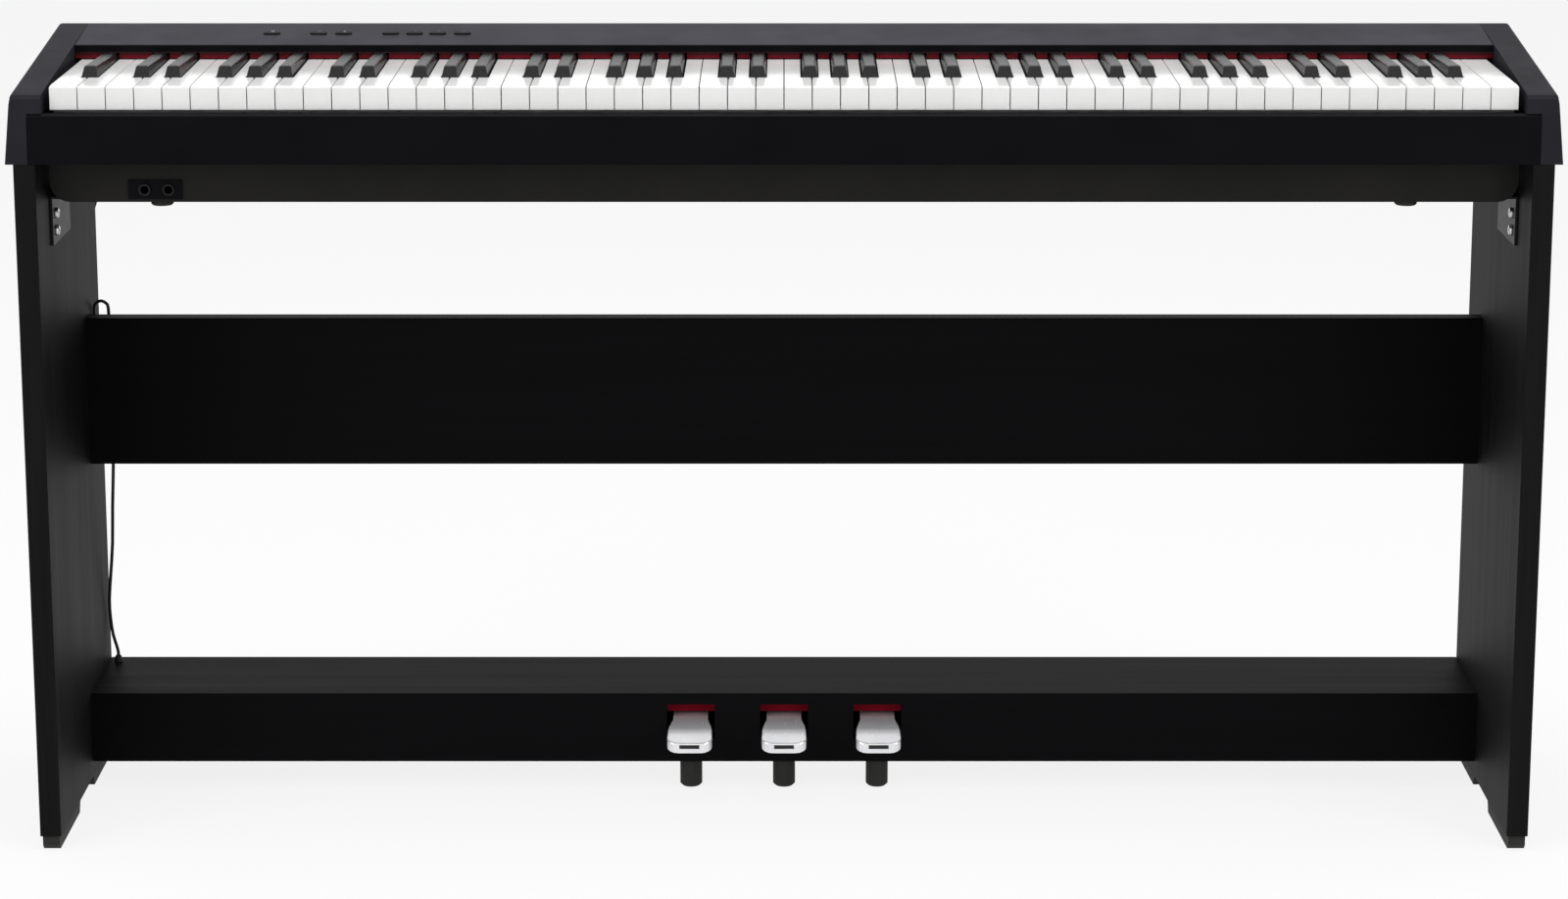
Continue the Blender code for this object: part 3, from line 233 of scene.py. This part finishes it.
black_satin = Finish("black_key_plastic", 0.25, 0.3)
streaks = black_satin.noise(0.0012, 3.0, (1.0, 0.04, 1.0))
black_satin.tint(streaks, (0.004, 0.004, 0.005), (0.008, 0.008, 0.009))
black_satin.set("Roughness", streaks * 0.20 + 0.18)
black_satin.relief(streaks, 0.00002, 0.5)
dress(white_gloss, *named("white_keys"))
dress(black_satin, *named("black_keys"))

# %% [markdown]
# Felt is a mat of short wool fibres. It has no gloss, its colour changes from fibre to fibre, and a little
# sheen stands for the fibre ends that catch the light at a low angle. Light doesn't reach the top of the strip
# under the panel's edge, so its colour is painted darker towards the top, as painted shade.

# %% Felt
SHADE_HEIGHT = 0.008

felt = Finish("red_felt", 0.95, 0.1)
fibres = felt.noise(0.0009, 5.0)
felt_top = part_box("key_felt_strip")[1].z
# painted shade: the felt's colour gets darker towards the top of the strip
painted_shade_fade = (felt.along("Z") * -1.0 + felt_top) * (0.5 / SHADE_HEIGHT)
felt.tint(fibres * 0.4 + painted_shade_fade.math("MINIMUM", 0.45), (0.030, 0.001, 0.003), (0.27, 0.003, 0.014))
felt.relief(fibres, 0.0004, 0.9)
felt.set("Sheen Weight", 0.15)
felt.set("Sheen Roughness", 0.5)
dress(felt, "key_felt_strip", "pedal_stop_felt")

# %% [markdown]
# The stand is chipboard in black laminate, printed and pressed with a very quiet wood grain. A noise that is
# drawn out along the board gives the grain, so the side panels have it upright and the other boards have it
# lying. The same value moves the colour, the gloss and the relief together, as it does on pressed laminate.

# %% Laminated boards
GRAIN_WIDTH = 0.003
GRAIN_DRAW = 0.02


def laminate(name, dark, light, stretch, specular):
    finish = Finish(name, 0.55, specular)
    broad = finish.noise(GRAIN_WIDTH * 6, 3.0, stretch)
    fine = finish.noise(GRAIN_WIDTH, 5.0, stretch)
    grain = broad * 0.5 + fine * 0.5
    finish.tint(grain, dark, light)
    finish.set("Roughness", grain * 0.24 + 0.44)
    finish.relief(fine, 0.00010, 0.6)
    return finish


UPRIGHT = (1.0, 1.0, GRAIN_DRAW)
LYING = (GRAIN_DRAW, 1.0, 1.0)
upright_board = laminate("upright_laminate", (0.0034, 0.0034, 0.0035), (0.0078, 0.0078, 0.0081), UPRIGHT, 0.06)
lying_board = laminate("lying_laminate", (0.0009, 0.0008, 0.0012), (0.0024, 0.0023, 0.0030), LYING, 0.05)
dress(upright_board, "side_panel_left", "side_panel_right")
dress(lying_board, "middle_panel", *named("pedal_box"))

# %% [markdown]
# The pedals are cast, ground along their length and chrome plated. Satin chrome is part mirror and part pale
# grey, so it is mixed from metal and a light base. The axle and the key bed are plain bright steel, rolled in
# one direction. The brackets are painted, and paint on folded steel has a slight orange peel.

# %% Metals
chrome = Finish("chrome_plate", 0.2, metallic=0.55)
polish = chrome.noise(0.0006, 3.0, (1.0, 0.03, 1.0))
chrome.tint(chrome.noise(0.02, 3.0), (0.80, 0.80, 0.83), (0.88, 0.88, 0.90))
chrome.set("Roughness", polish * 0.16 + 0.16)
steel = Finish("bright_steel", 0.3, metallic=1.0)
rolling = steel.noise(0.0005, 3.0, (0.04, 1.0, 1.0))
steel.tint(rolling, (0.52, 0.52, 0.53), (0.66, 0.66, 0.67))
steel.set("Roughness", rolling * 0.22 + 0.20)
painted_steel = Finish("painted_steel", 0.4, 0.2)
painted_steel.tint(painted_steel.noise(0.01, 3.0), (0.004, 0.004, 0.004), (0.008, 0.008, 0.008))
painted_steel.set("Roughness", painted_steel.noise(0.006, 3.0) * 0.14 + 0.40)
painted_steel.relief(painted_steel.noise(0.0012, 2.0), 0.00008, 0.5)
dress(chrome, "pedal_soft", "pedal_sostenuto", "pedal_sustain")
dress(steel, "pedal_axle", "key_bed")
dress(painted_steel, "stand_bracket_left", "stand_bracket_right", "speaker_left", "speaker_right")

# %% [markdown]
# Feet, glides and the cable gland are moulded rubber. It is the dullest black on the piano, slightly dusty on
# the high spots of its grain.

# %% Rubber
rubber = Finish("moulded_rubber", 0.7, 0.25)
dust = rubber.noise(0.0010, 4.0)
rubber.tint(dust, (0.013, 0.013, 0.012), (0.026, 0.026, 0.024))
rubber.set("Roughness", dust * 0.2 + 0.6)
rubber.relief(dust, 0.00010, 0.6)
dress(rubber, *named("case_foot", "foot_glide", "adjuster_foot"), "cable_gland")

# %% [markdown]
# The picture has a plain white ground. A pale floor takes the piano's soft shadow. To the camera, and to
# reflections, it is mixed with plain white. So the ground looks white and the chrome mirrors it, while the
# floor adds no extra light to the piano. The world does the same.

# %% Floor and surroundings
FLOOR_SIZE = 30.0
FLOOR_WHITE = 0.85
AMBIENT = 0.42


def seen_directly(tree):
    """1 for camera, mirror and glass rays, and 0 for the rays that light the piano."""
    rays = tree.nodes.new("ShaderNodeLightPath")
    camera_ray = Shade(tree, rays.outputs["Is Camera Ray"])
    glossy_ray = Shade(tree, rays.outputs["Is Glossy Ray"])
    glass_ray = Shade(tree, rays.outputs["Is Transmission Ray"])
    return camera_ray.math("MAXIMUM", glossy_ray).math("MAXIMUM", glass_ray)


def mixed(tree, share, first, second, end):
    mix = tree.nodes.new("ShaderNodeMixShader")
    plug(tree, mix.inputs[0], share)
    tree.links.new(first.outputs[0], mix.inputs[1])
    tree.links.new(second.outputs[0], mix.inputs[2])
    tree.links.new(mix.outputs[0], end.inputs["Surface"])


bpy.ops.object.select_all(action="DESELECT")
bpy.ops.mesh.primitive_plane_add(size=FLOOR_SIZE, location=(0.0, 0.0, -0.0005))
floor = bpy.context.object
floor.name = "floor"
bpy.ops.object.transform_apply(location=True, rotation=True, scale=True)
paper = Finish("floor_paper", 0.9, 0.2)
paper.set("Base Color", (0.82, 0.82, 0.82, 1.0))
white_ground = paper.tree.nodes.new("ShaderNodeEmission")
share = seen_directly(paper.tree) * FLOOR_WHITE
mixed(paper.tree, share, paper.shader, white_ground, paper.tree.nodes["Material Output"])
floor.data.materials.append(paper.material)

world = bpy.data.worlds.new("studio")
bpy.context.scene.world = world
world.use_nodes = True
ambient = world.node_tree.nodes["Background"]
ambient.inputs["Color"].default_value = (1.0, 1.0, 1.0, 1.0)
ambient.inputs["Strength"].default_value = AMBIENT
white_sky = world.node_tree.nodes.new("ShaderNodeBackground")
white_sky.inputs["Color"].default_value = (1.0, 1.0, 1.0, 1.0)
sky_end = world.node_tree.nodes["World Output"]
mixed(world.node_tree, seen_directly(world.node_tree), ambient, white_sky, sky_end)
print("floor and world are white to the camera")

# %% [markdown]
# Three large soft lamps stand round the piano, as in a product studio: one above it and one on each side of
# the camera. Large lamps give soft shadows, and low power keeps the black finishes black.

# %% Soft lamps
PIANO_MIDDLE = Vector((0.0, 0.0, 0.4))


def softbox(name, place, width, height, power):
    lamp = bpy.data.lights.new(name, "AREA")
    lamp.shape = "RECTANGLE"
    lamp.size = width
    lamp.size_y = height
    lamp.energy = power
    stand = bpy.data.objects.new(name, lamp)
    bpy.context.scene.collection.objects.link(stand)
    stand.location = place
    stand.rotation_euler = (PIANO_MIDDLE - Vector(place)).to_track_quat("-Z", "Y").to_euler()


softbox("softbox_top", (0.0, -0.3, 3.2), 3.0, 2.0, 78.0)
softbox("softbox_left", (-2.6, -2.2, 1.8), 1.6, 1.8, 30.0)
softbox("softbox_right", (2.6, -2.2, 1.8), 1.6, 1.8, 30.0)
bpy.context.scene.view_settings.view_transform = "Standard"
print("three soft lamps")

# %% [markdown]
# The pedal cable is one thin limp lead. From its plug behind the piano it sags behind the side panel, climbs
# over the middle panel's end, and drops to a gland on the pedal box. Its route is a list of given points, the
# same as in the part. A smooth curve through them gets a round section.

# %% Cable route
CABLE_RADIUS = 0.0015
SOCKET_X = -0.585
SOCKET_Z = 0.628
PLUG_REAR = 0.2793
GLAND_X = -0.6140
GLAND_DEPTH = 0.2560
GLAND_TOP = 0.0963
CABLE_ROUTE = (
    (SOCKET_X, PLUG_REAR, SOCKET_Z),
    (SOCKET_X, 0.2860, 0.6276),
    (-0.5852, 0.2925, 0.6245),
    (-0.5870, 0.2965, 0.6150),
    (-0.5930, 0.2965, 0.5950),
    (-0.6040, 0.2930, 0.5680),
    (-0.6160, 0.2870, 0.5400),
    (-0.6260, 0.2810, 0.5120),
    (-0.6310, 0.2775, 0.4800),
    (-0.6320, 0.2765, 0.4450),
    (-0.6320, 0.2765, 0.4050),
    (-0.6315, 0.2770, 0.3700),
    (-0.6295, 0.2785, 0.3460),
    (-0.6250, 0.2785, 0.3290),
    (-0.6195, 0.2735, 0.3190),
    (-0.6175, 0.2630, 0.3170),
    (-0.6180, 0.2520, 0.3240),
    (-0.6195, 0.2430, 0.3400),
    (-0.6207, 0.2380, 0.3640),
    (-0.6208, 0.2360, 0.3900),
    (-0.6208, 0.2350, 0.4150),
    (-0.6208, 0.2350, 0.4280),
    (-0.6189, 0.2350, 0.4325),
    (-0.6144, 0.2350, 0.4346),
    (-0.6099, 0.2350, 0.4325),
    (-0.6080, 0.2350, 0.4280),
    (-0.6078, 0.2350, 0.4100),
    (-0.6076, 0.2345, 0.3700),
    (-0.6076, 0.2340, 0.3250),
    (-0.6085, 0.2340, 0.2808),
    (-0.6108, 0.2360, 0.2430),
    (-0.6128, 0.2400, 0.2075),
    (-0.6160, 0.2450, 0.1800),
    (-0.6193, 0.2500, 0.1520),
    (-0.6196, 0.2540, 0.1320),
    (-0.6180, 0.2555, 0.1160),
    (-0.6152, 0.2560, 0.1050),
    (GLAND_X, GLAND_DEPTH, GLAND_TOP + 0.0032),
    (GLAND_X, GLAND_DEPTH, GLAND_TOP),
)


def smooth_route(points, steps):
    """Points on a smooth curve through the given ones."""
    padded = [points[0] * 2 - points[1]] + points + [points[-1] * 2 - points[-2]]
    found = []
    for index in range(1, len(padded) - 2):
        before, start, end, after = padded[index - 1 : index + 3]
        for step in range(steps):
            t = step / steps
            line = start * 2 + (end - before) * t
            square = (before * 2 - start * 5 + end * 4 - after) * t**2
            cube = (start * 3 - before - end * 3 + after) * t**3
            found.append((line + square + cube) * 0.5)
    return found + [points[-1]]


route = [Vector((across, FRONT_Y + behind, height)) for across, behind, height in reversed(CABLE_ROUTE)]
cable_points = smooth_route(route, 2)
cable_length = sum((after - before).length for before, after in zip(cable_points, cable_points[1:]))
print("the lead is", round(cable_length, 3), "m long")

# %% Cable
sheath = Finish("cable_sheath", 0.45, 0.3)
sheath.tint(sheath.noise(0.004, 3.0), (0.007, 0.007, 0.007), (0.012, 0.012, 0.012))
sheath.set("Roughness", sheath.noise(0.003, 2.0) * 0.15 + 0.38)

lead = bpy.data.curves.new("pedal_cable_lead", "CURVE")
lead.dimensions = "3D"
lead.bevel_depth = CABLE_RADIUS
lead.bevel_resolution = 4
lead.use_fill_caps = True
spline = lead.splines.new("POLY")
spline.points.add(len(cable_points) - 1)
for item, point in zip(spline.points, cable_points):
    item.co = (*point, 1.0)
lead.materials.append(sheath.material)
cable = bpy.data.objects.new("pedal_cable_lead", lead)
bpy.context.scene.collection.objects.link(cable)
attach(cable, "root")
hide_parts("pedal_cable")

# %% [markdown]
# Each bracket is fixed to its side panel by two bright pan-head screws, one above the other near its front
# end. One screw is enough to model: a disc gets a domed rim by a bevel, and a cross-shaped cutter presses the
# drive recess. Every place then gets a copy with its own mesh.

# %% Bracket screw
SCREW_RADIUS = 0.0046
SCREW_HEIGHT = 0.0024
RECESS_WIDTH = 0.0011
RECESS_LENGTH = 0.0048
RECESS_DEPTH = 0.0014


def add_bar(length, width, height, top):
    bpy.ops.object.select_all(action="DESELECT")
    bpy.ops.mesh.primitive_cube_add(size=1.0, location=(0.0, 0.0, top - height / 2))
    bar = bpy.context.object
    bar.scale = (length, width, height)
    bpy.ops.object.transform_apply(location=True, rotation=True, scale=True)
    return bar


def apply_modifier(obj, kind, **settings):
    modifier = obj.modifiers.new(kind.lower(), kind)
    for key, value in settings.items():
        setattr(modifier, key, value)
    bpy.ops.object.select_all(action="DESELECT")
    bpy.context.view_layer.objects.active = obj
    obj.select_set(True)
    bpy.ops.object.modifier_apply(modifier=modifier.name)


def make_screw():
    """A pan head whose seat lies at the origin and whose face points along +Z."""
    bpy.ops.object.select_all(action="DESELECT")
    bpy.ops.mesh.primitive_cylinder_add(
        vertices=32, radius=SCREW_RADIUS, depth=SCREW_HEIGHT, location=(0.0, 0.0, SCREW_HEIGHT / 2)
    )
    screw = bpy.context.object
    bpy.ops.object.transform_apply(location=True, rotation=True, scale=True)
    bpy.ops.object.mode_set(mode="EDIT")
    bpy.ops.mesh.select_all(action="DESELECT")
    mesh = bmesh.from_edit_mesh(screw.data)
    for face in mesh.faces:
        face.select = face.normal.z > 0.9
    mesh.select_flush_mode()
    bmesh.update_edit_mesh(screw.data)
    bpy.ops.mesh.bevel(offset=SCREW_HEIGHT * 0.6, segments=5)
    bpy.ops.object.mode_set(mode="OBJECT")
    for size in ((RECESS_LENGTH, RECESS_WIDTH), (RECESS_WIDTH, RECESS_LENGTH)):
        bar = add_bar(*size, RECESS_DEPTH * 2, SCREW_HEIGHT + RECESS_DEPTH)
        apply_modifier(screw, "BOOLEAN", operation="DIFFERENCE", object=bar)
        bpy.data.objects.remove(bar)
    bpy.ops.object.shade_smooth_by_angle(angle=math.radians(35))
    screw.data.materials.append(steel.material)
    return screw


def place_copy(pattern, name, matrix):
    """A copy with its own mesh, whose place is in the mesh."""
    copy = bpy.data.objects.new(name, pattern.data.copy())
    copy.data.transform(matrix)
    bpy.context.scene.collection.objects.link(copy)
    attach(copy, "root")
    return copy


screw = make_screw()
print("one screw has", len(screw.data.polygons), "faces")

# %% Bracket screws in place
SCREW_DEPTH = 0.0135
SCREW_HEIGHTS = (0.546, 0.531)
BRACKET_WALL = 0.002
SEAT_GAP = 0.0003

for label, side in (("left", -1), ("right", 1)):
    low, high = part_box(f"stand_bracket_{label}")
    wall = low.x if side < 0 else high.x
    face_x = wall - side * (BRACKET_WALL + SEAT_GAP)
    facing = Matrix.Rotation(math.radians(-90 * side), 4, "Y")
    for row, height in enumerate(SCREW_HEIGHTS):
        spot = Matrix.Translation((face_x, low.y + SCREW_DEPTH, height))
        place_copy(screw, f"bracket_screw_{label}_{row}", spot @ facing)
bpy.data.objects.remove(screw)
print("four bracket screws")

# %% [markdown]
# The headphone sockets show a painted ring round each bore. It starts as a circle of edges, which is extruded
# and scaled into a flat ring, thickened, and softened with a bevel.

# %% Socket rings
RING_INNER = 0.0036
RING_OUTER = 0.0051
RING_THICKNESS = 0.0007
JACK_X = (-0.537, -0.517)
JACK_Z = 0.5735


def make_ring(inner, outer, thickness):
    """A flat ring round the Z axis, with its back at the origin."""
    bpy.ops.object.select_all(action="DESELECT")
    bpy.ops.mesh.primitive_circle_add(vertices=40, radius=inner, fill_type="NOTHING")
    ring = bpy.context.object
    bpy.ops.object.mode_set(mode="EDIT")
    bpy.ops.mesh.select_all(action="SELECT")
    bpy.ops.mesh.extrude_region_move()
    bpy.ops.transform.resize(value=(outer / inner, outer / inner, 1.0))
    bpy.ops.mesh.select_all(action="SELECT")
    bpy.ops.mesh.normals_make_consistent(inside=False)
    bpy.ops.object.mode_set(mode="OBJECT")
    apply_modifier(ring, "SOLIDIFY", thickness=thickness, offset=0.0)
    ring.data.transform(Matrix.Translation((0.0, 0.0, thickness / 2)))
    apply_modifier(ring, "BEVEL", width=thickness * 0.3, segments=2)
    bpy.ops.object.shade_smooth_by_angle(angle=math.radians(35))
    return ring


ring = make_ring(RING_INNER, RING_OUTER, RING_THICKNESS)
ring.data.materials.append(painted_steel.material)
socket_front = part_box("headphone_socket_panel")[0].y
forwards = Matrix.Rotation(math.radians(90), 4, "X")
for number, centre in enumerate(JACK_X):
    spot = Matrix.Translation((centre, socket_front, JACK_Z))
    place_copy(ring, f"headphone_socket_ring_{number}", spot @ forwards)
bpy.data.objects.remove(ring)
print("two socket rings")

# %% [markdown]
# The lip of each pedal has a shallow notch. A dark rubber pad is set into it, as a grip for the shoe. The pad
# is a bevelled block, and it rides on its pedal, so that it tips with it.

# %% Pedal pads
NOTCH_WIDTH = 0.018
NOTCH_HEIGHT = 0.0036
NOTCH_DEPTH = 0.002
NOTCH_FRONT = 0.1087
NOTCH_TOP = 0.0586
PAD_GAP = 0.0003

for label in ("soft", "sostenuto", "sustain"):
    low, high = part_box(f"pedal_{label}")
    pad = add_bar(NOTCH_WIDTH - PAD_GAP * 2, NOTCH_DEPTH * 0.7, NOTCH_HEIGHT - PAD_GAP * 2, 0.0)
    apply_modifier(pad, "BEVEL", width=0.0003, segments=2)
    pad.name = f"pedal_pad_{label}"
    middle_y = FRONT_Y + NOTCH_FRONT + NOTCH_DEPTH * 0.65 - PAD_GAP / 2
    pad.data.transform(Matrix.Translation(((low.x + high.x) / 2, middle_y, NOTCH_TOP - PAD_GAP)))
    pad.data.materials.append(rubber.material)
    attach(pad, f"pedal_{label}")
print("three pedal pads")

# %% [markdown]
# Above each button the panel has a tiny pale print. The signs are kept generic: an open ring with a bar for
# power, a minus and a plus for volume, and one to four dots for the rest. Each sign is a film a twentieth of
# a millimetre thick that lies on the sloping panel.

# %% Button prints
PRINT_THICKNESS = 0.00006
PRINT_LINE = 0.00045
PRINT_SIZE = 0.0028
PRINT_SETBACK = 0.0085
panel_print = Finish("panel_print", 0.6, 0.3)
panel_print.tint(panel_print.noise(0.0008, 3.0), (0.42, 0.42, 0.43), (0.55, 0.55, 0.56))


def bar_at(width, length, across=0.0, along=0.0):
    bar = add_bar(width, length, PRINT_THICKNESS, PRINT_THICKNESS)
    bar.data.transform(Matrix.Translation((across, along, 0.0)))
    return bar


def sign_pieces(name):
    """The pieces of one sign, laid flat round the origin."""
    if name == "power":
        size = PRINT_SIZE / 2
        ring_piece = make_ring(size - PRINT_LINE, size, PRINT_THICKNESS)
        return [ring_piece, bar_at(PRINT_LINE, size, 0.0, size)]
    if name == "volume_down":
        return [bar_at(PRINT_SIZE, PRINT_LINE)]
    if name == "volume_up":
        return [bar_at(PRINT_SIZE, PRINT_LINE), bar_at(PRINT_LINE, PRINT_SIZE)]
    count = ("tone", "function", "metronome", "record").index(name) + 1
    pitch = PRINT_LINE * 2.4
    starts = [(number - (count - 1) / 2) * pitch for number in range(count)]
    return [bar_at(PRINT_LINE, PRINT_LINE, start) for start in starts]


def join_pieces(pieces):
    bpy.ops.object.select_all(action="DESELECT")
    for piece in pieces:
        piece.select_set(True)
    bpy.context.view_layer.objects.active = pieces[0]
    if len(pieces) > 1:
        bpy.ops.object.join()
    return pieces[0]


PANEL_FRONT = 0.1645
PANEL_REAR = 0.2350
PANEL_FRONT_Z = 0.6767
PANEL_REAR_Z = 0.6860
BUTTON_ROW = 0.2000
PANEL_SLOPE = math.atan((PANEL_REAR_Z - PANEL_FRONT_Z) / (PANEL_REAR - PANEL_FRONT))
BUTTON_ROW_Z = PANEL_FRONT_Z + math.tan(PANEL_SLOPE) * (BUTTON_ROW - PANEL_FRONT)

for node in named("button_"):
    low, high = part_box(node)
    middle = (low + high) / 2
    sign = join_pieces(sign_pieces(node.removeprefix("button_")))
    sign.name = f"print_{node}"
    spot = Matrix.Translation((middle.x, FRONT_Y + BUTTON_ROW, BUTTON_ROW_Z))
    slope = Matrix.Rotation(PANEL_SLOPE, 4, "X")
    lift = Matrix.Translation((0.0, PRINT_SETBACK, 0.0))
    sign.data.transform(spot @ slope @ lift)
    sign.data.materials.clear()
    sign.data.materials.append(panel_print.material)
    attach(sign, "root")
print("seven button prints")
